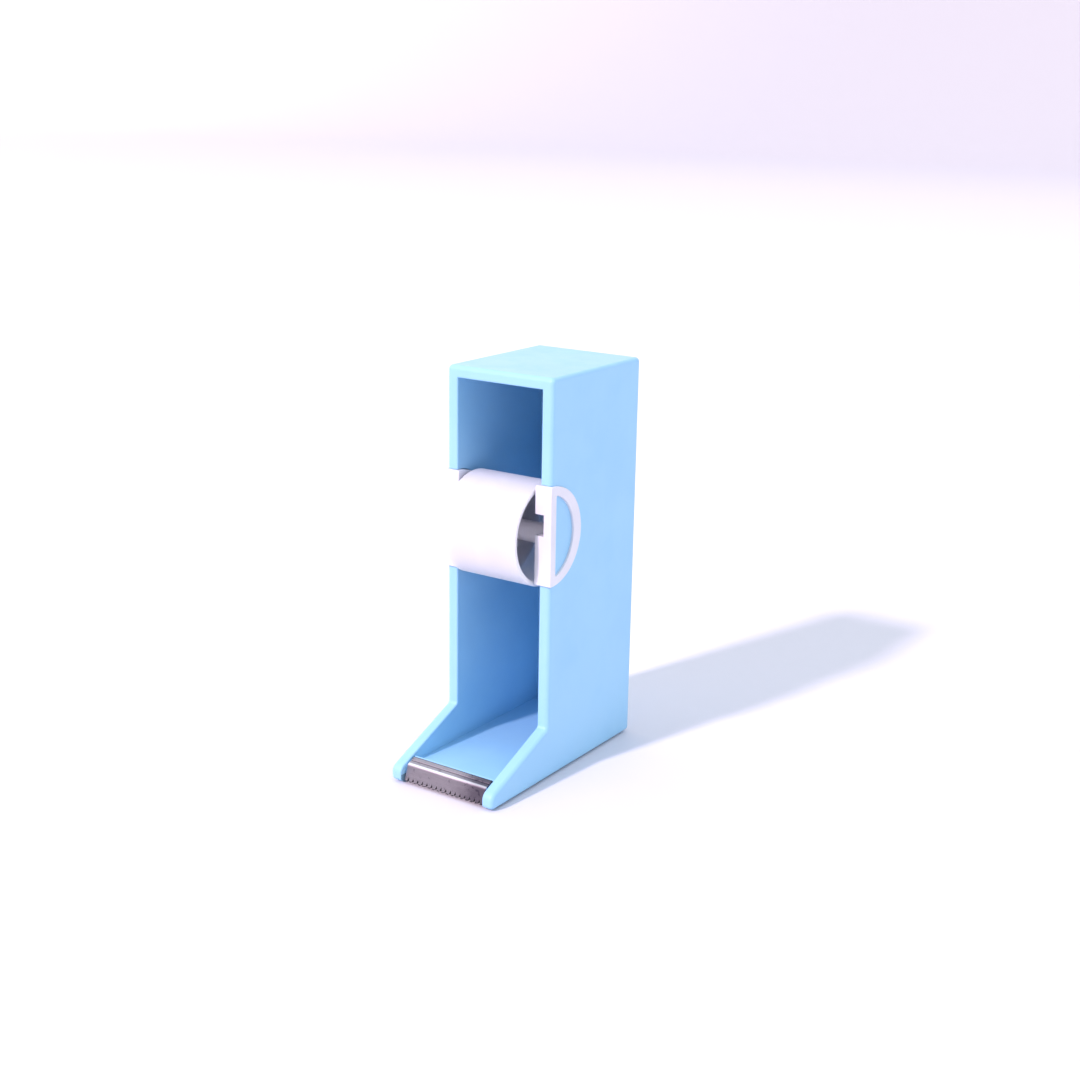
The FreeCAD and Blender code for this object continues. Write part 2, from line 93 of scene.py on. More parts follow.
# %% A skin made of patches
class Skin:
    """Patches of faces with exact corner normals, welded into one mesh."""

    WELD = 1e-7

    def __init__(self):
        self.points = []
        self.normals = []
        self.quads = []
        self.polygons = []
        self.count = 0

    def _take(self, points, normals):
        """Keep the points and normals, and say where they start."""
        start = self.count
        self.points.append(points.reshape(-1, 3))
        self.normals.append(np.broadcast_to(normals, points.shape).reshape(-1, 3))
        self.count += len(self.points[-1])
        return start

    def grid(self, points, normals):
        """Quads between neighbouring rows and columns of a grid of points."""
        start = self._take(points, normals)
        rows, columns = points.shape[:2]
        index = start + np.arange(rows * columns).reshape(rows, columns)
        corners = (index[:-1, :-1], index[1:, :-1], index[1:, 1:], index[:-1, 1:])
        self.quads.append(np.stack(corners, axis=-1).reshape(-1, 4))

    def polygon(self, points, normal):
        """One flat face."""
        start = self._take(points, np.asarray(normal, float))
        self.polygons.append(start + np.arange(len(points)))

    def facets(self, quads, towards):
        """Separate flat quads, each with its own normal on the side of a rough direction."""
        normals = np.cross(quads[:, 2] - quads[:, 0], quads[:, 3] - quads[:, 1])
        normals /= np.linalg.norm(normals, axis=1, keepdims=True)
        normals *= np.where(normals @ np.asarray(towards, float) < 0, -1.0, 1.0)[:, None]
        start = self._take(quads, normals[:, None])
        self.quads.append(start + np.arange(4 * len(quads)).reshape(-1, 4))

    def both_sides(self, points, normals):
        """A grid and its mirror image across the middle plane."""
        mirror = np.array([-1.0, 1.0, 1.0])
        self.grid(points, normals)
        self.grid(points * mirror, normals * mirror)

    def mirror(self):
        """Move everything so far to the other side of the middle plane."""
        flip = np.array([-1.0, 1.0, 1.0])
        self.points = [points * flip for points in self.points]
        self.normals = [normals * flip for normals in self.normals]

    def build(self, name):
        """Weld, turn faces outwards and write the mesh.

        A quad with two neighbouring corners welded together becomes a triangle, and one with more
        such pairs has no area and is left out. Polygons lose their repeated corners.
        """
        points = np.concatenate(self.points)
        normals = np.concatenate(self.normals)
        keys = np.round(points / self.WELD).astype(np.int64)
        _, first, weld = np.unique(keys, axis=0, return_index=True, return_inverse=True)
        weld = weld.reshape(-1)
        quads = np.concatenate(self.quads)
        welded = weld[quads]
        repeated = welded == np.roll(welded, -1, axis=1)
        groups = [quads[repeated.sum(axis=1) == 0]]
        pinched = quads[repeated.sum(axis=1) == 1]
        kept = ~repeated[repeated.sum(axis=1) == 1]
        groups.append(pinched[kept].reshape(-1, 3))
        for polygon in self.polygons:
            single = weld[polygon] != np.roll(weld[polygon], 1)
            groups.append(polygon[single][None, :])
        loops = [self._turned(points, normals, group) for group in groups if len(group)]
        corners = np.concatenate([group.reshape(-1) for group in loops])
        sizes = np.concatenate([np.full(len(group), group.shape[1]) for group in loops])
        return write_mesh(name, points[first], weld[corners], sizes, normals[corners])

    @staticmethod
    def _turned(points, normals, group):
        """Reverse the faces whose area vector points against their normals."""
        places = points[group]
        following = np.roll(places, -1, axis=1)
        area = np.cross(places - places[:, :1], following - places[:, :1]).sum(axis=1)
        wrong = (area * normals[group].sum(axis=1)).sum(axis=1) < 0
        turned = group.copy()
        turned[wrong] = group[wrong][:, ::-1]
        return turned


def write_mesh(name, points, corners, sizes, corner_normals):
    """Mesh object from its points, its faces' corners in a row and each face's number of corners."""
    mesh = bpy.data.meshes.new(name)
    mesh.vertices.add(len(points))
    mesh.vertices.foreach_set("co", points.astype(np.float32).ravel())
    mesh.loops.add(len(corners))
    mesh.loops.foreach_set("vertex_index", corners.astype(np.int32))
    mesh.polygons.add(len(sizes))
    starts = np.concatenate([[0], np.cumsum(sizes)[:-1]])
    mesh.polygons.foreach_set("loop_start", starts.astype(np.int32))
    mesh.polygons.foreach_set("loop_total", sizes.astype(np.int32))
    mesh.update(calc_edges=True)
    mesh.polygons.foreach_set("use_smooth", np.ones(len(sizes), bool))
    lengths = np.linalg.norm(corner_normals, axis=1, keepdims=True)
    mesh.normals_split_custom_set((corner_normals / lengths).tolist())
    piece = bpy.data.objects.new(name, mesh)
    bpy.context.scene.collection.objects.link(piece)
    print(f"{name}: {len(points)} points, {len(sizes)} faces")
    return piece


# %% [markdown]
# Nearly every outline on this object is a few straight runs joined by tangent arcs. A path is worked
# out corner by corner: an arc of radius r that turns through an angle a starts r times tan(a / 2)
# before the corner. Each sample also gets the normal on its right-hand side, so that a path run
# anticlockwise has its normals pointing out, and a path moved along its normals stays a true offset.
# A turn smaller than STRAIGHT radians counts as no corner.

# %% Paths with rounded corners
ARC_STEPS = 10
STRAIGHT = 1e-9


def corner_block(before, corner, after, radius, steps=ARC_STEPS):
    """Samples and right-hand normals of one corner.

    The arc's centre lies on the inner side, at a distance r from both runs, and the normal turns
    evenly from the first run's to the second run's. A sharp corner is sampled twice, once with each
    run's normal.
    """
    first = np.subtract(corner, before)
    second = np.subtract(after, corner)
    first = first / np.linalg.norm(first)
    second = second / np.linalg.norm(second)
    turn = math.atan2(first[0] * second[1] - first[1] * second[0], first @ second)
    start_normal = np.array([first[1], -first[0]])
    end_normal = np.array([second[1], -second[0]])
    if abs(turn) < STRAIGHT:
        return np.array([corner], float), start_normal[None, :]
    if radius == 0:
        return np.array([corner, corner], float), np.stack([start_normal, end_normal])
    angles = np.linspace(0, turn, steps + 1)
    normals = np.stack([
        start_normal[0] * np.cos(angles) - start_normal[1] * np.sin(angles),
        start_normal[0] * np.sin(angles) + start_normal[1] * np.cos(angles),
    ], axis=1)
    side = math.copysign(radius, turn)
    tangent = np.asarray(corner) - first * radius * math.tan(abs(turn) / 2)
    centre = tangent - start_normal * side
    return centre + normals * side, normals


def closed_path(corners, radii, steps=ARC_STEPS):
    """One block of samples and normals for each corner of a closed outline."""
    count = len(corners)
    blocks = []
    for index, corner in enumerate(corners):
        before = corners[index - 1]
        after = corners[(index + 1) % count]
        blocks.append(corner_block(before, corner, after, radii[index], steps))
    return blocks


def joined(blocks):
    """Samples and normals of several blocks in a row."""
    return np.concatenate([b[0] for b in blocks]), np.concatenate([b[1] for b in blocks])


def looped(blocks):
    """Samples and normals of blocks that come round to the first sample again."""
    path, normals = joined(blocks)
    return np.concatenate([path, path[:1]]), np.concatenate([normals, normals[:1]])


def side_points(across, path):
    """Points in space of a side-view path at given places across, as rows by samples."""
    across = np.broadcast_to(np.asarray(across, float), path.shape[:-1])
    return np.stack([across, FRONT + path[..., 0], path[..., 1]], axis=-1)


def side_normals(across, path_normals):
    """Directions in space made of a part across and a part in the side view's plane."""
    across = np.broadcast_to(np.asarray(across, float), path_normals.shape[:-1])
    return np.stack([across, path_normals[..., 0], path_normals[..., 1]], axis=-1)


# %% [markdown]
# Each side wall has a seat for a bracket: a plate with a half-round back fits into it from the front with
# a tenth of a millimetre all round. These sizes are needed twice, for the seat and for the bracket.

# %% Sizes of the brackets
RIM_PROUD = bracket_high.x - HALF
BAR_BACK = 1.4 * MM
WINDOW_RADIUS = 10.2 * MM
WINDOW_FORWARD = 1.4 * MM
BOSS_DEPTH = 2.1 * MM
SLOT_DEPTH = 2.5 * MM
SLOT_PLAY = 0.08 * MM
AXLE_LIFT = 3.65 * MM
BRACKET_EDGE = 0.22 * MM
BRACKET_CORNER = 0.35 * MM
WINDOW_FILLET = 0.4 * MM
WINDOW_STEPS = 40
BOSS_GAP = 0.1 * MM

boss_face = bracket_low.x
slot_end = boss_face + SLOT_DEPTH
boss_back = INNER + BOSS_DEPTH
bracket_radius = (bracket_high.z - bracket_low.z) / 2
bracket_middle = (bracket_high.z + bracket_low.z) / 2
axle_back = (axle_low.y + axle_high.y) / 2 - FRONT
axle_height = (axle_low.z + axle_high.z) / 2
axle_radius = (axle_high.z - axle_low.z) / 2
slot_radius = axle_radius + SLOT_PLAY
mouth_height = axle_height + AXLE_LIFT
mouth_low = mouth_height - slot_radius
mouth_high = mouth_height + slot_radius
seat_radius = bracket_radius + BOSS_GAP
seat_low = bracket_middle - seat_radius
seat_high = bracket_middle + seat_radius
print(f"brackets {2 * bracket_radius / MM:.1f} mm tall, slots {SLOT_DEPTH / MM:.1f} mm deep")


def arc(back, height, radius, start, finish, steps):
    """Samples of an arc in side view and its outward normals, between two angles in degrees."""
    angles = np.radians(np.linspace(start, finish, steps + 1))
    normals = np.stack([np.cos(angles), np.sin(angles)], axis=1)
    return np.array([back, height]) + radius * normals, normals


# %% [markdown]
# The housing is one moulding. It could be a box with boxes cut out of it, but booleans leave untidy
# faces where a rounding meets a curve. Instead the outline in side view is drawn once, anticlockwise
# from the underside of the top: down the front edge, over the kink, down the slope, round the toe and
# back along the base, the back and the top. The blade's side view starts from the same bend, because the
# front bar's slope and slot are made to hold it.

# %% Sizes of the housing and of the blade's seat
NOSE_ROUND = 2.2 * MM
HEEL_ROUND = 1.2 * MM
KINK_ROUND = 1.0 * MM
SIDE_ROUND = 1.0 * MM
MOUTH_ROUND = 0.4 * MM
PAD_GAP = 0.2 * MM

BLADE_SETBACK = 2.55 * MM
BLADE_RISE = 0.2 * MM
BLADE_PITCH = math.radians(22)
BLADE_LEAN = math.radians(19)
BLADE_THICK = 0.45 * MM
FLANGE = 2.1 * MM
LIP_LENGTH = 2.2 * MM
LIP_RELIEF = 4.2 * MM
BAR_LAND = 0.6 * MM
TANG_DEPTH = 1.8 * MM
TANG_GAP = 0.06 * MM
TANG_RELIEF = 0.32 * MM

ceiling = TOP - TOP_WALL
back_inner = DEPTH - BACK_WALL
down_face = np.array([-math.sin(BLADE_LEAN), -math.cos(BLADE_LEAN)])
up_flange = np.array([math.cos(BLADE_PITCH), math.sin(BLADE_PITCH)])
bend = np.array([BLADE_SETBACK - REACH, FLOOR_TOP + BLADE_RISE])
lip = bend + down_face * LIP_LENGTH
hollow = np.array([lip[0] + LIP_RELIEF, lip[1]])
relief = np.array([hollow[0], BASE])
tang = bend + up_flange * FLANGE
land_run = tang[0] - bend[0] + BLADE_THICK + BAR_LAND
land = bend + np.array([land_run, land_run * math.tan(BLADE_PITCH)])
slot_front = tang[0] - TANG_GAP
slot_rear = tang[0] + BLADE_THICK + TANG_RELIEF
slot_floor = tang[1] - TANG_DEPTH - TANG_GAP
bar_foot = np.array([land[0] + land[1] - FLOOR_TOP, FLOOR_TOP])
recess_front = pad_low.y - FRONT - PAD_GAP
recess_back = pad_high.y - FRONT + PAD_GAP
print(f"floor {back_inner / MM:.1f} mm deep, blade bends {-bend[0] / MM:.1f} mm in front of the tower")

# %% [markdown]
# The corners are written in order, and the radius of each stands in the same place in a second list.
# The samples come in one block per corner, so that a stretch of the outline is a slice of the blocks.

# %% Outline in side view
outline_corners = [
    (0.0, ceiling + MOUTH_ROUND),
    (0.0, seat_high),
    (0.0, seat_low),
    (0.0, FOOT_TOP),
    (-REACH, NOSE_HEIGHT),
    (-REACH, BASE),
    tuple(relief),
    (recess_front, BASE),
    (recess_back, BASE),
    (DEPTH, BASE),
    (DEPTH, TOP),
    (0.0, TOP),
]
outline_radii = [0, 0, 0, KINK_ROUND, NOSE_ROUND, HEEL_ROUND, 0, 0, 0, *[HEEL_ROUND] * 3]
outline_blocks = closed_path(outline_corners, outline_radii)
above_blocks = outline_blocks[:2]
below_blocks = outline_blocks[2:7]
base_blocks = outline_blocks[6:9]
back_blocks = outline_blocks[9:] + outline_blocks[:1]
print("outline samples:", sum(len(points) for points, _ in outline_blocks))

# %% [markdown]
# Three helpers lay patches along a side view. The first carries a path straight across, the second
# rounds an edge along a path, and the third makes flat faces between corners.

# %% Patches along a side view
EDGE_STEPS = 6
quarter = np.linspace(0, math.pi / 2, EDGE_STEPS + 1)[:, None]


def band(skin, path, normals, columns):
    """A side-view path carried straight across the object through the given places."""
    columns = np.asarray(columns, float)[:, None]
    shape = (len(columns), *path.shape)
    points = side_points(columns, np.broadcast_to(path, shape))
    skin.grid(points, side_normals(0.0, np.broadcast_to(normals, shape)))


def edge_rings(path, normals, outer_face, radius, way):
    """Rounded edge along a path.

    Ring by ring through an angle a from 0 to 90 degrees, the path moves across by r sin a and in along
    its normals by r (1 - cos a). The radius may change along the path. The surface normal is cos a
    times the path's normal and sin a across.
    """
    radius = np.broadcast_to(radius, len(path))
    across = outer_face - way * radius * (1 - np.sin(quarter))
    inset = (radius * (1 - np.cos(quarter)))[..., None]
    points = side_points(across, path[None] - inset * normals[None])
    directions = side_normals(way * np.sin(quarter), np.cos(quarter)[..., None] * normals[None])
    return points, directions


def add_strip(skin, corners, left, right):
    """Flat faces across the object, one for each run between neighbouring corners."""
    corners = np.asarray(corners, float)
    runs = np.diff(corners, axis=0)
    for start, run in zip(corners[:-1], runs):
        facing = np.array([run[1], -run[0]]) / np.linalg.norm(run)
        band(skin, np.stack([start, start + run]), facing, [left, right])


print("samples on a rounded edge:", len(quarter))

# %% [markdown]
# The outer surface comes first. A flat face with a rounded edge follows the whole outline on each side,
# and a band goes over the top, the back and the base. In front the shell is open, so only the narrow
# faces of the two walls are left there. Their inner edges are rounded too, and under the toes that
# rounding runs out to nothing.

# %% Outer surface and front edges
wall_levels = np.array([HALF - SIDE_ROUND, INNER + MOUTH_ROUND, INNER])
mitre = MOUTH_ROUND * (1 - np.sin(quarter[:, 0]))
rear_path, rear_normals = joined(back_blocks)
base_path, base_normals = joined(base_blocks + [(rear_path[:1], rear_normals[:1])])


def add_outside(skin):
    """Both side faces with their rounded edges, and the bands over the top, the back and the base."""
    whole, whole_normals = joined(outline_blocks + outline_blocks[:1])
    rings, ring_normals = edge_rings(whole, whole_normals, HALF, SIDE_ROUND, 1)
    skin.both_sides(rings, ring_normals)
    band(skin, rear_path, rear_normals, np.concatenate([wall_levels, -wall_levels[::-1]]))
    for way in (1, -1):
        skin.polygon(rings[-1, :-1] * [way, 1, 1], (way, 0, 0))
        band(skin, base_path, base_normals, way * wall_levels)


def add_front_faces(skin, blocks, taper):
    """Front faces of both walls along some blocks; gives the rounded edges on their inner side.

    The rounding falls evenly to nothing over the last samples, as many as taper says.
    """
    path, normals = joined(blocks)
    radii = np.full(len(path), MOUTH_ROUND)
    radii[len(radii) - taper:] = np.linspace(MOUTH_ROUND, 0, taper)
    across = np.stack([*(np.full(len(radii), level) for level in wall_levels[:2]), INNER + radii])
    shape = (len(across), *path.shape)
    skin.both_sides(
        side_points(across, np.broadcast_to(path, shape)),
        side_normals(0.0, np.broadcast_to(normals, shape)),
    )
    return edge_rings(path, normals, INNER, radii, -1)


shell = Skin()
add_outside(shell)
above_rings, above_normals = add_front_faces(shell, above_blocks, 0)
below_rings, below_normals = add_front_faces(shell, below_blocks, len(below_blocks[-2][0]) + 1)
above_rings[:, 0, 2] = ceiling + mitre
shell.both_sides(above_rings, above_normals)
shell.both_sides(below_rings, below_normals)
print("corners on the outside:", shell.count)

# %% [markdown]
# A mould leaves the seat of a bracket as a half-round pocket in the front edge of the wall. Its curve
# starts behind the edge's rounding, so it is half an ellipse that is that much shallower than it is
# tall. The pocket ends where the rounding of the wall's outer edge begins.

# %% Seats of the brackets
SEAT_STEPS = 48
sweep = np.linspace(math.pi / 2, -math.pi / 2, SEAT_STEPS + 1)
seat_depth = seat_radius - MOUTH_ROUND
seat_points = np.stack([
    MOUTH_ROUND + seat_depth * np.cos(sweep),
    bracket_middle + seat_radius * np.sin(sweep),
], axis=1)
seat_normals = -np.stack([seat_radius * np.cos(sweep), seat_depth * np.sin(sweep)], axis=1)
seat_mouth = np.array([(0.0, seat_low), (0.0, seat_high)])


def add_seat(skin, way):
    """Pocket of one bracket: its curved wall, its floor and its two ends."""
    floor = wall_levels[0]
    band(skin, seat_points, seat_normals, [way * INNER, way * floor])
    pocket = np.concatenate([seat_points, seat_mouth])
    skin.polygon(side_points(way * floor, pocket), (-way, 0, 0))
    for profile, corner, mouth_end, facing in (
        (above_rings[:, -1], seat_points[0], seat_mouth[1], -1),
        (below_rings[:, 0], seat_points[-1], seat_mouth[0], 1),
    ):
        deep = side_points(floor, np.stack([corner, mouth_end]))
        skin.polygon(np.concatenate([profile, deep]) * [way, 1, 1], (0, 0, facing))


for side in (1, -1):
    add_seat(shell, side)
print(f"seats {2 * seat_radius / MM:.1f} mm tall, {seat_depth / MM:.1f} mm deep")

# %% [markdown]
# Inside, the faces are flat: the hollow under the blade, the bar with the slot for the blade's tang, the
# floor, the back and the ceiling. The ceiling's front edge is rounded like the walls' edges and is
# mitred into them. Last comes the recess for the pad in the base.

# %% Inside and base of the housing
def on_slope(back):
    """Height of the front bar's slope at a distance back."""
    return bend[1] + (back - bend[0]) * math.tan(BLADE_PITCH)


cavity = np.array([
    relief,
    hollow,
    lip,
    bend,
    (slot_front, on_slope(slot_front)),
    (slot_front, slot_floor),
    (slot_rear, slot_floor),
    (slot_rear, on_slope(slot_rear)),
    land,
    bar_foot,
    (back_inner, FLOOR_TOP),
    (back_inner, ceiling),
    (MOUTH_ROUND, ceiling),
])
recess = np.array([
    (recess_front, BASE),
    (recess_front, pad_high.z),
    (recess_back, pad_high.z),
    (recess_back, BASE),
])


def add_soffit(skin):
    """Rounded front edge of the ceiling, mitred into the edges of the walls."""
    across = np.stack([
        -INNER - mitre,
        np.full_like(mitre, -INNER),
        np.full_like(mitre, INNER),
        INNER + mitre,
    ])
    back = np.broadcast_to(MOUTH_ROUND * (1 - np.cos(quarter[:, 0])), across.shape)
    path = np.stack([back, np.broadcast_to(ceiling + mitre, across.shape)], axis=-1)
    facing = -np.concatenate([np.cos(quarter), np.sin(quarter)], axis=1)
    skin.grid(side_points(across, path), side_normals(0.0, np.broadcast_to(facing, path.shape)))


def add_inside(skin):
    """Flat faces across the inside and the base, and the inner faces of both walls."""
    add_strip(skin, cavity[::-1], -INNER, INNER)
    add_strip(skin, [relief, *recess, rear_path[0]], -INNER, INNER)
    wall_edge = np.concatenate([above_rings[-1], side_points(INNER, seat_points), below_rings[-1]])
    wall_face = np.concatenate([wall_edge, side_points(INNER, cavity[1:-1])])
    for way in (1, -1):
        skin.polygon(wall_face * [way, 1, 1], (-way, 0, 0))
        skin.polygon(side_points(way * INNER, recess), (-way, 0, 0))


add_soffit(shell)
add_inside(shell)
housing_shell = shell.build("housing_shell")

# %% [markdown]
# The brackets are white clips. On the inside each has a thick plate with a half-round back and a hooked
# slot, which takes the axle's end from the front and lets it drop. On the outside there is only a thin
# half-round rim and an upright, so the wall's colour shows through the window between them. Both sides
# of a bracket follow the same outline, so the outline is drawn once. The slot's mouth is left out of
# the front face by skipping one row of it.

# %% Outline of a bracket
rim_face = HALF + RIM_PROUD
inner_column = boss_face + BRACKET_EDGE
outer_column = rim_face - BRACKET_EDGE
front_ends = [
    (0.0, bracket_high.z),
    (-BAR_FRONT, bracket_high.z),
    (-BAR_FRONT, mouth_high),
    (-BAR_FRONT, mouth_low),
    (-BAR_FRONT, bracket_low.z),
    (0.0, bracket_low.z),
]
front_radii = [BRACKET_CORNER, 0, 0, BRACKET_CORNER]
front_blocks = [
    corner_block(*front_ends[index:index + 3], radius) for index, radius in enumerate(front_radii)
]
above_mouth = [(np.array([front_ends[0]]), np.array([[0.0, 1.0]])), *front_blocks[:2]]
below_mouth = [*front_blocks[2:], (np.array([front_ends[-1]]), np.array([[0.0, -1.0]]))]
half_round = arc(0, bracket_middle, bracket_radius, -90, 90, WINDOW_STEPS)
round_path = half_round[0]


def add_outline(skin):
    """Faces along a bracket's outline; gives the rounded edges of its inner and outer side."""
    for part in (above_mouth, below_mouth):
        band(skin, *joined(part), [inner_column, slot_end])
    band(skin, *joined(above_mouth + below_mouth), [slot_end, boss_back, HALF, outer_column])
    band(skin, *half_round, [inner_column, slot_end, boss_back])
    band(skin, *half_round, [HALF, outer_column])
    open_path = joined([*below_mouth, half_round, *above_mouth])
    inner_edge, inner_normals = edge_rings(*open_path, boss_face, BRACKET_EDGE, -1)
    whole_path = joined([*above_mouth, *below_mouth, half_round])
    outer_edge, outer_normals = edge_rings(*whole_path, rim_face, BRACKET_EDGE, 1)
    skin.grid(inner_edge, inner_normals)
    skin.grid(outer_edge, outer_normals)
    return inner_edge, outer_edge


print("samples round a bracket:", len(joined([*above_mouth, *below_mouth, half_round])[0]))

# %% [markdown]
# The hooked slot is an upright one with round ends, open to the front at its top. The window is an arc
# cut off by the upright. A fillet of radius f touches the upright and, from inside, the window's arc of
# radius R, so its centre lies R - f from the arc's centre, and that fixes its height.

# %% Slot, rim and whole bracket
def add_slot(skin, inner_edge):
    """Walls and floor of the hooked slot, the two lips at its mouth and the plate's face round it."""
    bottom, bottom_normals = arc(axle_back, axle_height, slot_radius, 0, -180, WINDOW_STEPS)
    top, top_normals = arc(axle_back, mouth_height, slot_radius, 90, 0, WINDOW_STEPS)
    step = np.array([[axle_back - slot_radius, mouth_low]])
    slot = np.concatenate([top, bottom, step])
    slot_normals = -np.concatenate([top_normals, bottom_normals, [[-1.0, 0.0]]])
    band(skin, slot, slot_normals, [boss_face, slot_end])
    lips = [(mouth_high, top[0], inner_edge[:, -1], -1), (mouth_low, step[0], inner_edge[:, 0], 1)]
    for height, inner_end, profile, facing in lips:
        deep = side_points(slot_end, np.array([(-BAR_FRONT, height), inner_end]))
        near = side_points(boss_face, inner_end[None])
        skin.polygon(np.concatenate([profile[::-1], deep, near]), (0, 0, facing))
    mouth = np.array([(-BAR_FRONT, mouth_low), (-BAR_FRONT, mouth_high)])
    skin.polygon(side_points(slot_end, np.concatenate([slot, mouth])), (-1, 0, 0))
    skin.polygon(np.concatenate([inner_edge[-1], side_points(boss_face, slot)]), (-1, 0, 0))


def window_outline():
    """Arc of the window and its two fillets, and their outward normals."""
    fillet_back = BAR_BACK + WINDOW_FILLET
    fillet_across = fillet_back + WINDOW_FORWARD
    fillet_up = math.sqrt((WINDOW_RADIUS - WINDOW_FILLET) ** 2 - fillet_across**2)
    spread = math.degrees(math.atan2(fillet_up, fillet_across))
    return joined([
        arc(-WINDOW_FORWARD, bracket_middle, WINDOW_RADIUS, -spread, spread, WINDOW_STEPS),
        arc(fillet_back, bracket_middle + fillet_up, WINDOW_FILLET, spread, 180, EDGE_STEPS),
        arc(fillet_back, bracket_middle - fillet_up, WINDOW_FILLET, 180, 360 - spread, EDGE_STEPS),
    ])


def add_rim(skin, outer_edge):
    """Rim and upright outside the wall, with the window between them, and the plate's back."""
    outward = np.array([1.0, 0.0, 0.0])
    window, window_normals = window_outline()
    window_edge, edge_directions = edge_rings(window, -window_normals, rim_face, BRACKET_EDGE, 1)
    skin.grid(window_edge, edge_directions)
    band(skin, window, -window_normals, [HALF, outer_column])
    curve = slice(None, WINDOW_STEPS + 1)
    cut = slice(None, WINDOW_STEPS - 1, -1)
    front_count = outer_edge.shape[1] - len(round_path)
    skin.grid(np.stack([outer_edge[-1, front_count:], window_edge[-1, curve]]), outward)
    upright = [outer_edge[-1, :front_count], window_edge[-1, cut]]
    skin.polygon(np.concatenate(upright), outward)
    skin.grid(np.stack([side_points(HALF, round_path), side_points(HALF, window[curve])]), -outward)
    upright_back = np.concatenate([round_path[:1], window[cut], round_path[-1:]])
    skin.polygon(side_points(HALF, upright_back), -outward)
    skin.polygon(side_points(boss_back, round_path), outward)
    add_strip(skin, [round_path[0], round_path[-1]], boss_back, HALF)


def make_bracket(name, way):
    """One bracket as a closed skin; way is the side of the tower, 1 or -1."""
    skin = Skin()
    inner_edge, outer_edge = add_outline(skin)
    add_slot(skin, inner_edge)
    add_rim(skin, outer_edge)
    if way < 0:
        skin.mirror()
    return skin.build(name)


right_clip = make_bracket("right_clip", 1)
left_clip = make_bracket("left_clip", -1)

# %% [markdown]
# The drum and the axle are turned shapes, so each is a half section carried round the axle's line. The
# section is a closed outline of distances along and from that line, with its corners rounded in the
# same way as the housing's. The drum is a thin tube with a disc and a short hub in the middle, as a
# mould needs, so that one can look into its open end and see the axle pass through.

# %% Turned pieces
TURN_STEPS = 128
DRUM_WALL = 1.2 * MM
DRUM_ROUND = 0.35 * MM
WEB = 0.8 * MM
HUB_HALF = 3.0 * MM
HUB_WALL = 2.0 * MM
BEARING_PLAY = 0.05 * MM
FILLET = 0.3 * MM


def turned(name, section, section_normals):
    """Closed skin of a half section carried round the axle's line.

    A sample at (a, r) goes to x = a, y = y0 + r cos t and z = z0 + r sin t, for t through a full turn.
    The section runs anticlockwise with a to the right and r upwards, so its normals point out.
    """
    angles = np.linspace(0, 2 * math.pi, TURN_STEPS + 1)
    angles[-1] = 0
    circle = np.stack([np.zeros_like(angles), np.cos(angles), np.sin(angles)], axis=1)
    along = np.array([1.0, 0.0, 0.0])
    centre = np.array([0, FRONT + axle_back, axle_height])
    points = centre + section[:, None, :1] * along + section[:, None, 1:] * circle[None]
    normals = section_normals[:, None, :1] * along + section_normals[:, None, 1:] * circle[None]
    skin = Skin()
    skin.grid(points, normals)
    return skin.build(name)


drum_half = drum_high.x
drum_radius = (drum_high.z - drum_low.z) / 2
tube_inner = drum_radius - DRUM_WALL
bore = axle_radius + BEARING_PLAY
hub_radius = bore + HUB_WALL
drum_corners = [
    (drum_half, drum_radius),
    (-drum_half, drum_radius),
    (-drum_half, tube_inner),
    (-WEB, tube_inner),
    (-WEB, hub_radius),
    (-HUB_HALF, hub_radius),
    (-HUB_HALF, bore),
    (HUB_HALF, bore),
    (HUB_HALF, hub_radius),
    (WEB, hub_radius),
    (WEB, tube_inner),
    (drum_half, tube_inner),
]
drum_radii = [DRUM_ROUND] * 3 + [FILLET] * 8 + [DRUM_ROUND]
tape_drum = turned("tape_drum", *looped(closed_path(drum_corners, drum_radii, EDGE_STEPS)))

AXLE_ROUND = 0.4 * MM
axle_half = axle_high.x
axle_ends = [(axle_half, 0), (axle_half, axle_radius), (-axle_half, axle_radius), (-axle_half, 0)]
axle_rod = turned("axle_rod", *joined([
    (np.array([axle_ends[0]]), np.array([[1.0, 0.0]])),
    corner_block(*axle_ends[:3], AXLE_ROUND, EDGE_STEPS),
    corner_block(*axle_ends[1:], AXLE_ROUND, EDGE_STEPS),
    (np.array([axle_ends[3]]), np.array([[-1.0, 0.0]])),
]))

# %% [markdown]
# The blade is one strip of steel. Its tang stands in a slot of the front bar, the flange lies on the
# bar's slope with one coined line along it, and the face leans out over the table with teeth along its
# edge. The strip's side view is a closed outline, and the teeth only change how far the face reaches:
# at the middle of a gap it ends at the root, and half a pitch wide on either side it ends at the tip.
# The ground edge is made by thinning the strip's back towards the tips.

# %% Cutter blade
TOOTH_PITCH = 1.4 * MM
TOOTH_DEPTH = 0.95 * MM
TOOTH_MARGIN = 0.3 * MM
BLADE_FACE = 2.75 * MM
BEND_ROUND = 0.85 * MM
SHOULDER_ROUND = 0.3 * MM
GROUND_WIDTH = 0.55 * MM
EDGE_THICK = 0.12 * MM
COINED_WIDTH = 0.42 * MM
COINED_DEPTH = 0.11 * MM

blade_half = blade_high.x
tooth_gaps = int((2 * blade_half - 2 * TOOTH_MARGIN) / TOOTH_PITCH)
gap_middles = (np.arange(tooth_gaps) - (tooth_gaps - 1) / 2) * TOOTH_PITCH
gap_places = gap_middles[:, None] + np.array([-TOOTH_PITCH / 4, 0, TOOTH_PITCH / 4])
blade_columns = np.concatenate([[-blade_half], gap_places.ravel(), [blade_half]])
rise = np.tile([0.0, -TOOTH_DEPTH, 0.0], tooth_gaps)
blade_reaches = BLADE_FACE + TOOTH_DEPTH + np.concatenate([[0.0], rise, [0.0]])

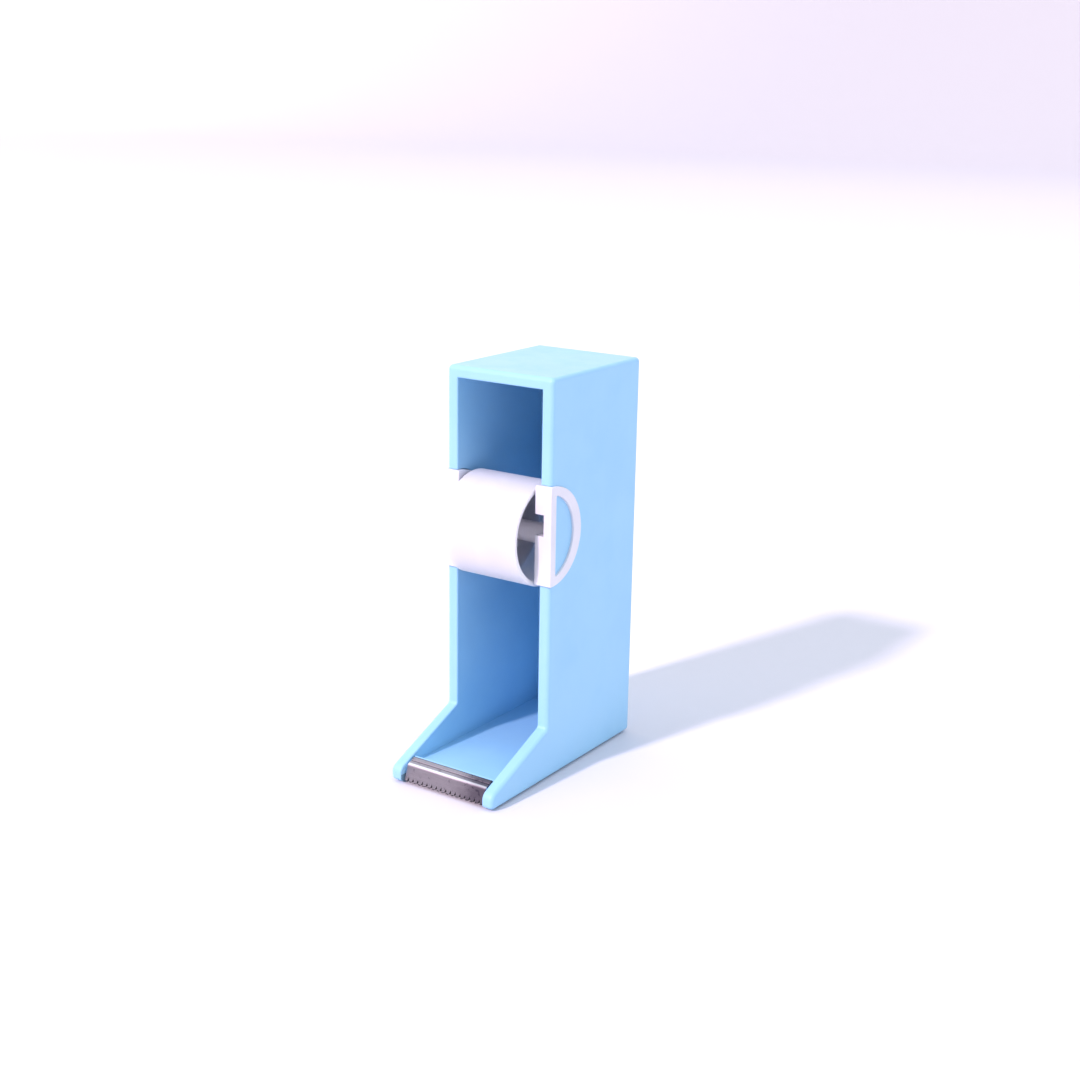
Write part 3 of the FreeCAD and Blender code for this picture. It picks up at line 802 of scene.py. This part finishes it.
face_out = np.array([down_face[1], -down_face[0]])
flange_out = np.array([-up_flange[1], up_flange[0]])
corner_spread = BLADE_THICK / (1 + math.sin(BLADE_PITCH + BLADE_LEAN))
bend_outside = bend + corner_spread * (flange_out + face_out)
shoulder = tang + BLADE_THICK * np.array([1.0, math.tan(BLADE_PITCH) + 1 / math.cos(BLADE_PITCH)])


def coined_line(start, finish, outward):
    """Corners of a shallow groove across the middle of a straight run."""
    along = (finish - start) / np.linalg.norm(finish - start)
    places = np.array([-0.5, -0.2, 0.2, 0.5])[:, None] * COINED_WIDTH
    depths = np.array([0.0, 1.0, 1.0, 0.0])[:, None] * COINED_DEPTH
    return list((start + finish) / 2 + places * along - depths * outward)


def make_blade():
    """Toothed strip as a closed skin.

    Every column across has the same side view, except that its two end samples are drawn back along
    the face until the strip ends at that column's reach.
    """
    skin = Skin()
    reach = BLADE_FACE + TOOTH_DEPTH
    tip_outside = bend + down_face * reach + face_out * BLADE_THICK
    tip_inside = tip_outside - face_out * EDGE_THICK
    groove = coined_line(shoulder, bend_outside, flange_out)
    tang_low = np.array([0.0, -TANG_DEPTH])
    tang_back = np.array([shoulder[0], tang[1]])
    corners = [
        tip_inside,
        bend + down_face * (BLADE_FACE - GROUND_WIDTH),
        bend,
        tang,
        tang + tang_low,
        tang_back + tang_low,
        shoulder,
        *groove,
        bend_outside,
        tip_outside,
    ]
    radii = [0, 0, 0, 0, 0, 0, SHOULDER_ROUND, *[COINED_DEPTH] * len(groove), BEND_ROUND, 0]
    path, normals = joined(closed_path(corners, radii, EDGE_STEPS))
    path, normals = path[1:-1], normals[1:-1]
    columns = np.broadcast_to(path, (len(blade_columns), *path.shape)).copy()
    columns[:, [0, -1]] -= (reach - blade_reaches)[:, None, None] * down_face
    surface = side_points(blade_columns[:, None], columns)
    skin.grid(surface, side_normals(0.0, np.broadcast_to(normals, columns.shape)))
    for column, way in ((0, -1), (-1, 1)):
        skin.polygon(surface[column], (way, 0, 0))
    edge = surface[:, [0, -1]]
    skin.facets(np.stack([edge[:-1, 0], edge[1:, 0], edge[1:, 1], edge[:-1, 1]], axis=1), (0, 0, -1))
    return skin.build("toothed_strip")


toothed_strip = make_blade()
print(tooth_gaps, "gaps between teeth")

# %% [markdown]
# Under the floor a rubber pad sits in a recess and stands a little proud, so that the dispenser doesn't
# slide when tape is torn off. It is a flat plate with a rounded plan, and its lower edge is rounded too.

# %% Base pad
PAD_CORNER = 1.8 * MM
PAD_EDGE = 0.25 * MM


def make_pad():
    """Plate with rounded corners in plan and a rounded lower edge.

    Ring by ring through an angle a from 0 to 90 degrees, the plan moves in along its normals by
    r (1 - cos a) while its height falls to r (1 - sin a).
    """
    skin = Skin()
    corners = [
        (pad_low.x, pad_low.y),
        (pad_high.x, pad_low.y),
        (pad_high.x, pad_high.y),
        (pad_low.x, pad_high.y),
    ]
    plan, normals = looped(closed_path(corners, [PAD_CORNER] * len(corners)))
    inset = (PAD_EDGE * (1 - np.cos(quarter)))[..., None]
    heights = PAD_EDGE * (1 - np.sin(quarter))
    rings = np.concatenate([plan[None], plan[None] - inset * normals[None]])
    levels = np.concatenate([[[pad_high.z]], heights])
    tilt = np.concatenate([[[0.0]], quarter])[..., None]
    points = np.concatenate([rings, np.broadcast_to(levels[..., None], (*rings.shape[:2], 1))], axis=-1)
    sideways = np.cos(tilt) * normals[None]
    downwards = np.broadcast_to(-np.sin(tilt), (*sideways.shape[:2], 1))
    skin.grid(points, np.concatenate([sideways, downwards], axis=-1))
    skin.polygon(points[-1, :-1], (0, 0, -1))
    skin.polygon(points[0, :-1], (0, 0, 1))
    return skin.build("grip_pad")


grip_pad = make_pad()

# %% [markdown]
# Next come the finishes. Shader sums are easier to read as formulas, so a small class wraps a socket
# and turns + - * and the like into maths nodes. Its make method adds any other node, with its settings
# first and its inputs as numbers or other wires.


# %% Shader formulas
class Wire:
    """A value inside a material that can be used in sums."""

    def __init__(self, tree, socket):
        self.tree = tree
        self.socket = socket

    def make(self, kind, settings=None, output=0, **inputs):
        """New node of a type, with its settings and its inputs by name or by number after a letter n."""
        node = self.tree.nodes.new(kind)
        for name, value in (settings or {}).items():
            setattr(node, name, value)
        for name, value in inputs.items():
            key = int(name[1:]) if name[1:].isdigit() else name.replace("_", " ")
            self.feed(node.inputs[key], value)
        return Wire(self.tree, node.outputs[output])

    def feed(self, socket, value):
        """Link a wire to a socket, or set the socket's number."""
        if isinstance(value, Wire):
            self.tree.links.new(value.socket, socket)
        else:
            socket.default_value = value

    def _sum(self, operation, first, second=0.0):
        return self.make("ShaderNodeMath", {"operation": operation}, n0=first, n1=second)

    def __add__(self, other):
        return self._sum("ADD", self, other)

    def __radd__(self, other):
        return self._sum("ADD", other, self)

    def __sub__(self, other):
        return self._sum("SUBTRACT", self, other)

    def __rsub__(self, other):
        return self._sum("SUBTRACT", other, self)

    def __mul__(self, other):
        return self._sum("MULTIPLY", self, other)

    def __rmul__(self, other):
        return self._sum("MULTIPLY", other, self)

    def __truediv__(self, other):
        return self._sum("DIVIDE", self, other)

    def __rtruediv__(self, other):
        return self._sum("DIVIDE", other, self)

    def larger(self, other):
        """The larger of two values."""
        return self._sum("MAXIMUM", self, other)

    def size(self):
        """This value without its sign."""
        return self._sum("ABSOLUTE", self)

    def stretched(self, scales):
        """This vector with its parts multiplied by three numbers."""
        return self.make("ShaderNodeVectorMath", {"operation": "MULTIPLY"}, n0=self, n1=scales)

    def noise(self, scale, detail=2.0, roughness=0.5):
        """Smooth noise from 0 to 1 at these coordinates."""
        return self.make("ShaderNodeTexNoise", Vector=self, Scale=scale, Detail=detail, Roughness=roughness)

    def part(self, index):
        """One coordinate of this vector."""
        return self.make("ShaderNodeSeparateXYZ", output=index, Vector=self)

    def ramp(self, low, high, start=0.0, finish=1.0, smooth=True):
        """This value moved from one range to another, held at its ends."""
        kind = {"interpolation_type": "SMOOTHSTEP" if smooth else "LINEAR"}
        return self.make("ShaderNodeMapRange", kind, n0=self, n1=low, n2=high, n3=start, n4=finish)

    def blend(self, first, second):
        """Colour between two colours, as far along as this value says."""
        node = self.tree.nodes.new("ShaderNodeMix")
        node.data_type = "RGBA"
        factor = next(i for i in node.inputs if i.name == "Factor" and i.type == "VALUE")
        colours = [i for i in node.inputs if i.type == "RGBA"]
        self.feed(factor, self)
        self.feed(colours[0], first)
        self.feed(colours[1], second)
        return Wire(self.tree, next(o for o in node.outputs if o.type == "RGBA"))

    def bumps(self, distance, strength=1.0, under=None):
        """Surface normal whose height is this value times the distance."""
        inputs = {"Strength": strength, "Distance": distance, "Height": self}
        if under is not None:
            inputs["Normal"] = under
        return self.make("ShaderNodeBump", **inputs)


def finish(name, paint, **constants):
    """Material with one principled surface.

    The paint function is given the object's coordinates and returns the varying inputs by name.
    """
    material = bpy.data.materials.new(name)
    material.use_nodes = True
    tree = material.node_tree
    tree.nodes.clear()
    output = tree.nodes.new("ShaderNodeOutputMaterial")
    surface = tree.nodes.new("ShaderNodeBsdfPrincipled")
    tree.links.new(surface.outputs["BSDF"], output.inputs["Surface"])
    place = Wire(tree, tree.nodes.new("ShaderNodeTexCoord").outputs["Object"])
    for key, value in {**constants, **paint(place)}.items():
        place.feed(surface.inputs[key.replace("_", " ")], value)
    print(f"{name}: {len(tree.nodes)} nodes")
    return material


# %% [markdown]
# Moulded plastic is never one flat colour. The pigment is slightly uneven over a few millimetres, the
# skin has a fine grain and long shallow waves where it shrank in the mould, and handling leaves patches
# that shine more than the rest. The housing and the brackets share that recipe with their own colours
# and amounts. Noise scales are in waves per metre. The low inside faces of the hollow under the front
# bar are painted dark, as painted shade.

# %% Moulded plastics
# Edge width and colour of the painted shade in the hollow under the front bar.
PAINTED_SHADE_EDGE = 0.1 * MM
PAINTED_SHADE_COLOUR = (0.03, 0.035, 0.05, 1)
PLASTIC_IOR = 1.49


def plastic(name, main, deep, shine, grain, painted_shade_back=None):
    """Moulded plastic from two near colours, a roughness and a grain height in metres.

    When the last argument gives a place along Y, painted shade darkens the low inside faces in front of
    that place.
    """
    def paint(place):
        cloud = place.noise(90.0, 3.0).ramp(0.35, 0.65)
        speck = place.noise(5200.0, 1.0).ramp(0.3, 0.7)
        handled = place.stretched((1.0, 1.0, 0.6)).noise(140.0, 4.0, 0.6).ramp(0.4, 0.7)
        fine = place.noise(3400.0, 2.0)
        waves = place.noise(70.0, 1.0)
        colour = (cloud * 0.7 + speck * 0.3).blend(main, deep)
        # Painted shade: the low inside faces of the hollow under the front bar are painted dark.
        if painted_shade_back is not None:
            inside = place.part(0).size().ramp(INNER + PAINTED_SHADE_EDGE, INNER - PAINTED_SHADE_EDGE, smooth=False)
            forward = place.part(1).ramp(painted_shade_back + PAINTED_SHADE_EDGE, painted_shade_back, smooth=False)
            low = place.part(2).ramp(hollow[1] + PAINTED_SHADE_EDGE, hollow[1] + PAINTED_SHADE_EDGE / 2, smooth=False)
            colour = (inside * forward * low).blend(colour, PAINTED_SHADE_COLOUR)
        rough = shine + handled * 0.1 + speck * 0.04
        normal = fine.bumps(grain, 0.5, under=waves.bumps(0.0005, 0.35))
        return {"Base_Color": colour, "Roughness": rough, "Normal": normal}

    return finish(name, paint, IOR=PLASTIC_IOR, Coat_Weight=0.08, Coat_Roughness=0.2)


sky_plastic = plastic(
    "housing_plastic",
    (0.385, 0.675, 0.89, 1),
    (0.36, 0.65, 0.88, 1),
    0.34,
    0.00003,
    painted_shade_back=FRONT + hollow[0],
)
clip_plastic = plastic(
    "bracket_plastic", (0.83, 0.82, 0.86, 1), (0.79, 0.78, 0.83, 1), 0.38, 0.00002
)

# %% [markdown]
# The drum is white plastic thin enough to let a little light through, so it scatters light below its
# skin. Faint rings run round it, where the mould was turned. The axle is a drawn rod with fine lines
# along it.

# %% Turned plastics
def paint_drum(place):
    """White plastic turned smooth, with very faint rings round its axis and a dusty grain."""
    across = place.part(0)
    rings = place.make(
        "ShaderNodeTexNoise",
        {"noise_dimensions": "1D"},
        W=across,
        Scale=1800.0,
        Detail=2.0,
    )
    cloud = place.noise(120.0, 3.0).ramp(0.35, 0.65)
    fine = place.noise(4200.0, 2.0)
    colour = (cloud * 0.6 + rings * 0.4).blend((0.90, 0.875, 0.925, 1), (0.86, 0.835, 0.895, 1))
    rough = 0.42 + rings * 0.08 + cloud * 0.05
    normal = fine.bumps(0.00002, 0.4, under=rings.bumps(0.000015, 0.4))
    return {"Base_Color": colour, "Roughness": rough, "Normal": normal}


def paint_axle(place):
    """Slightly greyer plastic with fine drawing lines along the rod."""
    lines = place.stretched((60.0, 2600.0, 2600.0)).noise(1.0, 2.0)
    cloud = place.noise(200.0, 2.0)
    colour = (lines * 0.5 + cloud * 0.5).blend((0.92, 0.90, 0.92, 1), (0.84, 0.82, 0.85, 1))
    rough = 0.30 + lines * 0.12
    return {"Base_Color": colour, "Roughness": rough, "Normal": lines.bumps(0.00002, 0.4)}


drum_plastic = finish(
    "drum_plastic",
    paint_drum,
    IOR=PLASTIC_IOR,
    Subsurface_Weight=0.7,
    Subsurface_Radius=(1.0, 0.95, 0.98),
    Subsurface_Scale=0.006,
)
axle_plastic = finish("axle_plastic", paint_axle, IOR=PLASTIC_IOR)

# %% [markdown]
# The blade is cold-rolled steel. Its lines run along the strip, so its noise changes slowly along X and
# quickly across it. One end is painted darker as a painted reflection, painted shade darkens the coined
# groove and the line where the flange meets the bar, and the bend has a painted highlight. The pad is a
# dark rubber with a fine square tread.

# %% Steel and rubber
GROOVE_Y = FRONT + (shoulder[0] + bend_outside[0]) / 2
SHOULDER_Y = FRONT + shoulder[0]
BEND_Y = FRONT + bend_outside[0] + 0.35 * BEND_ROUND


def paint_steel(place):
    """Rolled lines along the strip, tarnish, a painted reflection darkening one end, painted shade in the
    groove and along the bar, a painted highlight on the bend.
    """
    lines = place.stretched((220.0, 9000.0, 9000.0)).noise(1.0, 3.0, 0.7)
    scratches = place.stretched((60.0, 4200.0, 4200.0)).noise(1.0, 1.0).ramp(0.62, 0.75)
    cloud = place.stretched((1.0, 2.0, 2.0)).noise(210.0, 4.0, 0.6)
    # Painted reflection: the strip is painted darker towards its right end, standing in for a darker
    # reflection there.
    painted_dark_end = (place.part(0) + cloud * 0.006 - 0.003).ramp(0.001, 0.0095)
    tarnish = place.noise(900.0, 3.0, 0.65).ramp(0.58, 0.72) * 0.5
    clean = lines.blend((0.34, 0.295, 0.325, 1), (0.56, 0.505, 0.545, 1))
    # The painted dark end and random tarnish both darken the clean steel colour.
    tarnish_and_dark_end = (painted_dark_end * 0.8 + tarnish).blend(clean, (0.10, 0.085, 0.115, 1))
    # Painted shade: near-black colour in the coined groove and along the line where the flange meets the
    # bar.
    back = place.part(1)
    in_groove = (back - GROOVE_Y).size().ramp(0.4 * COINED_WIDTH, 0.15 * COINED_WIDTH)
    at_bar = back.ramp(SHOULDER_Y - 1.6 * SHOULDER_ROUND, SHOULDER_Y - 0.8 * SHOULDER_ROUND)
    groove_and_bar_shade = (in_groove * 0.6).larger(at_bar)
    # Painted highlight: a pale stripe along the bend, with a little more roughness there.
    painted_highlight = (back - BEND_Y).size().ramp(0.4 * BEND_ROUND, 0.1 * BEND_ROUND) * (1.0 - painted_dark_end * 0.4)
    colour = painted_highlight.blend(groove_and_bar_shade.blend(tarnish_and_dark_end, (0.02, 0.02, 0.03, 1)), (0.97, 0.94, 0.97, 1))
    rough = 0.30 + lines * 0.08 + painted_dark_end * 0.05 + painted_highlight * 0.12 - scratches * 0.06
    return {"Base_Color": colour, "Roughness": rough, "Normal": lines.bumps(0.00002, 0.2)}


def paint_rubber(place):
    """Dark rubber with a fine square tread and dust in it."""
    tread = place.make("ShaderNodeTexChecker", output=1, Vector=place, Scale=900.0)
    dust = place.noise(700.0, 4.0, 0.6).ramp(0.45, 0.75)
    colour = (dust * 0.5).blend((0.05, 0.06, 0.075, 1), (0.16, 0.18, 0.21, 1))
    return {"Base_Color": colour, "Roughness": 0.75 + dust * 0.15, "Normal": tread.bumps(0.0001, 0.4)}


blade_steel = finish("blade_steel", paint_steel, Metallic=1.0)
pad_rubber = finish("pad_rubber", paint_rubber, IOR=1.5)

# %% [markdown]
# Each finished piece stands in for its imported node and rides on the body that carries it: the drum turns
# on the axle, the axle lifts in the brackets, and everything else is fixed to the housing.

# %% Hand each piece its finish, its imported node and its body
pieces = [
    (housing_shell, sky_plastic, "housing_plastic", "housing", "housing"),
    (grip_pad, pad_rubber, "pad_rubber", "base_pad", "housing"),
    (left_clip, clip_plastic, "bracket_plastic", "left_bracket", "housing"),
    (right_clip, clip_plastic, "bracket_plastic", "right_bracket", "housing"),
    (toothed_strip, blade_steel, "blade_steel", "cutter_blade", "housing"),
    (tape_drum, drum_plastic, "drum_plastic", "drum", "drum"),
    (axle_rod, axle_plastic, "axle_plastic", "axle", "axle"),
]
for piece, material, slot_name, node, body in pieces:
    piece.data.materials.append(material)
    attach(piece, body)
    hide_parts(node)
    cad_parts[node].data.materials.clear()
    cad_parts[node].data.materials.append(material)
print(len(pieces), "pieces stand for", len(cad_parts), "packed nodes")

# %% [markdown]
# # The studio
# A pale sheet runs flat under the object and curves up far behind it, so there is no horizon line. The
# sheet is a side-view profile carried across, like the housing. Its sizes are in metres.

# %% Lay the scene
FLOOR_FRONT = -3.0
FLOOR_BACK = 5.0
SWEEP_ROUND = 2.0
SWEEP_TOP = 5.0
FLOOR_HALF = 8.0
SWEEP_STEPS = 24
# Where the painted shade on the sheet fades in, across and back, in metres.
DIM_LEFT = -5.0
DIM_RIGHT = -1.5
DIM_NEAR = 0.5
DIM_FAR = 4.5


def make_floor():
    """Flat floor, quarter-round sweep and upright back as one open sheet."""
    sweep, sweep_normals = corner_block(
        (FLOOR_FRONT, 0.0), (FLOOR_BACK, 0.0), (FLOOR_BACK, SWEEP_TOP), SWEEP_ROUND, SWEEP_STEPS
    )
    path = np.concatenate([[[FLOOR_FRONT, 0.0]], sweep, [[FLOOR_BACK, SWEEP_TOP]]])
    normals = -np.concatenate([sweep_normals[:1], sweep_normals, sweep_normals[-1:]])
    skin = Skin()
    band(skin, path, normals, [-FLOOR_HALF, FLOOR_HALF])
    return skin.build("studio_floor")


def paint_floor(place):
    """Matt white sheet with a trace of grain, and painted shade that makes it greyer where it rises far
    behind the object.
    """
    grain = place.noise(300.0, 3.0)
    cloud = place.noise(3.0, 1.0)
    # Painted shade: the sheet far behind the object is painted grey.
    painted_dimming = place.part(0).ramp(DIM_LEFT, DIM_RIGHT) * place.part(1).ramp(DIM_NEAR, DIM_FAR)
    near = (grain * 0.3 + cloud * 0.7).blend((0.80, 0.78, 0.82, 1), (0.785, 0.77, 0.82, 1))
    colour = painted_dimming.blend(near, (0.575, 0.575, 0.59, 1))
    return {"Base_Color": colour, "Roughness": 0.8 + grain * 0.1, "Normal": grain.bumps(0.00005, 0.1)}


studio_floor = make_floor()
studio_floor.data.materials.append(finish("floor_sheet", paint_floor, Specular_IOR_Level=0.2))

# %% [markdown]
# The light is a big soft lamp in front of the tower, a little to its left and above it, and a bright
# surround that fills the shadows with a cool tint. The surround is dimmer in front, from FRONT_WAY to
# SIDE_WAY along Y. The lamp's direction gives the shadow that falls to the right and back.

# %% Light
KEY_ACROSS = 0.35
KEY_BACK = 1.29
KEY_DOWN = 1.0
KEY_STRENGTH = 2.65
KEY_SPREAD = math.radians(4.5)
FILL_COLOUR = (0.84, 0.915, 1.0, 1)
FILL_STRENGTH = 1.25
FRONT_SHARE = 0.38
FRONT_WAY = -0.95
SIDE_WAY = -0.15
KEY_COLOUR = (1.0, 0.79, 0.92)
VIEW_GAMMA = 0.9

key_light = bpy.data.lights.new("key", "SUN")
key_light.energy = KEY_STRENGTH
key_light.angle = KEY_SPREAD
key_light.color = KEY_COLOUR
key = bpy.data.objects.new("key", key_light)
key.rotation_euler = Vector((KEY_ACROSS, KEY_BACK, -KEY_DOWN)).to_track_quat("-Z", "Y").to_euler()
bpy.context.scene.collection.objects.link(key)

world = bpy.data.worlds.new("surround")
world.use_nodes = True
backdrop = world.node_tree.nodes["Background"]
backdrop.inputs["Color"].default_value = FILL_COLOUR
facing_way = Wire(world.node_tree, world.node_tree.nodes.new("ShaderNodeTexCoord").outputs["Generated"])
surround = facing_way.part(1).ramp(FRONT_WAY, SIDE_WAY, FRONT_SHARE, 1.0) * FILL_STRENGTH
surround.feed(backdrop.inputs["Strength"], surround)
bpy.context.scene.world = world
bpy.context.scene.view_settings.view_transform = "Standard"
bpy.context.scene.view_settings.gamma = VIEW_GAMMA

# %% [markdown]
# The camera looks down on the tower from its front right, from about a third of a metre away. It turns
# round a point a little to the right of the tower's middle, which leaves the object low and left of
# centre in the view.

# %% Camera
AZIMUTH = math.radians(34.17)
ELEVATION = math.radians(16.2)
ROLL = math.radians(0.896)
DISTANCE = 0.36687
LENS = 52.76
NEAR_LIMIT = 0.01
TARGET = Vector((0.01201, FRONT, 0.0599))

towards = Vector((
    math.sin(AZIMUTH) * math.cos(ELEVATION),
    -math.cos(AZIMUTH) * math.cos(ELEVATION),
    math.sin(ELEVATION),
))
right = (-towards).cross(Vector((0, 0, 1))).normalized()
up = right.cross(-towards)
rolled_right = math.cos(ROLL) * right + math.sin(ROLL) * up
rolled_up = math.cos(ROLL) * up - math.sin(ROLL) * right
camera_data = bpy.data.cameras.new("camera")
camera_data.lens = LENS
camera_data.clip_start = NEAR_LIMIT
camera = bpy.data.objects.new("camera", camera_data)
turn = Matrix((rolled_right, rolled_up, towards)).transposed().to_4x4()
camera.matrix_world = Matrix.Translation(TARGET + DISTANCE * towards) @ turn
bpy.context.scene.collection.objects.link(camera)
bpy.context.scene.camera = camera
print("camera at", [round(value, 4) for value in camera.matrix_world.translation])
